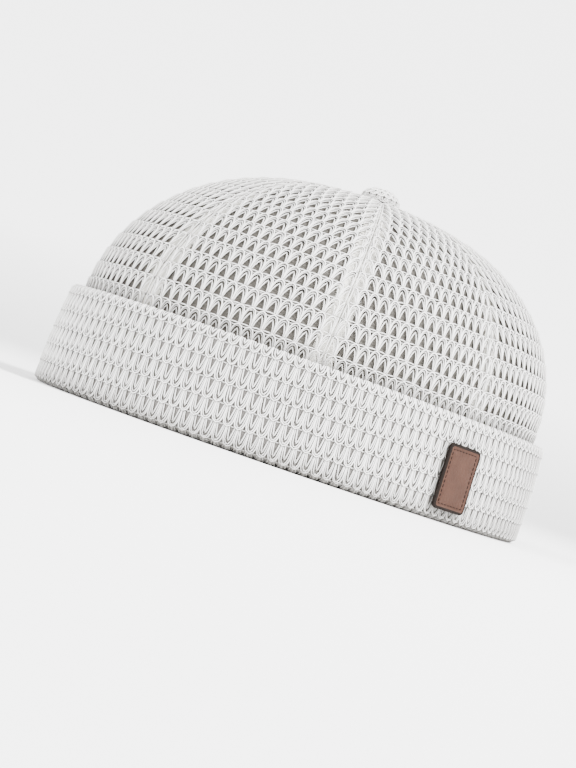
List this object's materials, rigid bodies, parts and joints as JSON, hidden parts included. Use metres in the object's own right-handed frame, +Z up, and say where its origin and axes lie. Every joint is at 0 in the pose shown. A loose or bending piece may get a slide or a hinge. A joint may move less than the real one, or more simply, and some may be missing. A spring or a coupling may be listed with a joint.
{
  "type": "docker cap",
  "caption": "Brimless knitted docker cap of openwork gores with a turned-up cuff, cotton sweatband, back arch and an adjustable webbing strap with a slider.",
  "frame": {"origin": "centre of the cap's outline on the surface that its rim rests on", "axes": "+Z up, -Y the front of the cap, +Y the back with the arch and strap, +X the wearer's left with the label"},
  "size_m": [0.1808, 0.203, 0.1139],
  "materials": {
    "crown_knit": "openwork knit of smooth off-white yarn",
    "cuff_knit": "the same knit, doubled, off-white",
    "button_knit": "covered in the same knit",
    "seam_tape_cotton": "plain pale cotton tape",
    "sweatband_cotton": "khaki cotton, sewn in rows",
    "facing_cotton": "khaki cotton with a folded edge",
    "strap_webbing": "ribbed black webbing",
    "slider_plastic": "satin dark moulded plastic",
    "label_leather": "leather-look tab with a dark edge, bare"
  },
  "bodies": {
    "root": {"crown_panel_1": "crown_knit", "crown_panel_2": "crown_knit", "crown_panel_3": "crown_knit", "crown_panel_4": "crown_knit", "crown_panel_5": "crown_knit", "crown_panel_6": "crown_knit", "crown_panel_7": "crown_knit", "crown_panel_8": "crown_knit", "seam_tape_1": "seam_tape_cotton", "seam_tape_2": "seam_tape_cotton", "seam_tape_3": "seam_tape_cotton", "seam_tape_4": "seam_tape_cotton", "seam_tape_5": "seam_tape_cotton", "seam_tape_6": "seam_tape_cotton", "seam_tape_7": "seam_tape_cotton", "seam_tape_8": "seam_tape_cotton", "top_button": "button_knit", "cuff": "cuff_knit", "sweatband": "sweatband_cotton", "arch_facing": "facing_cotton", "strap": "strap_webbing", "slider": "slider_plastic", "label": "label_leather"}
  },
  "joints": []
}
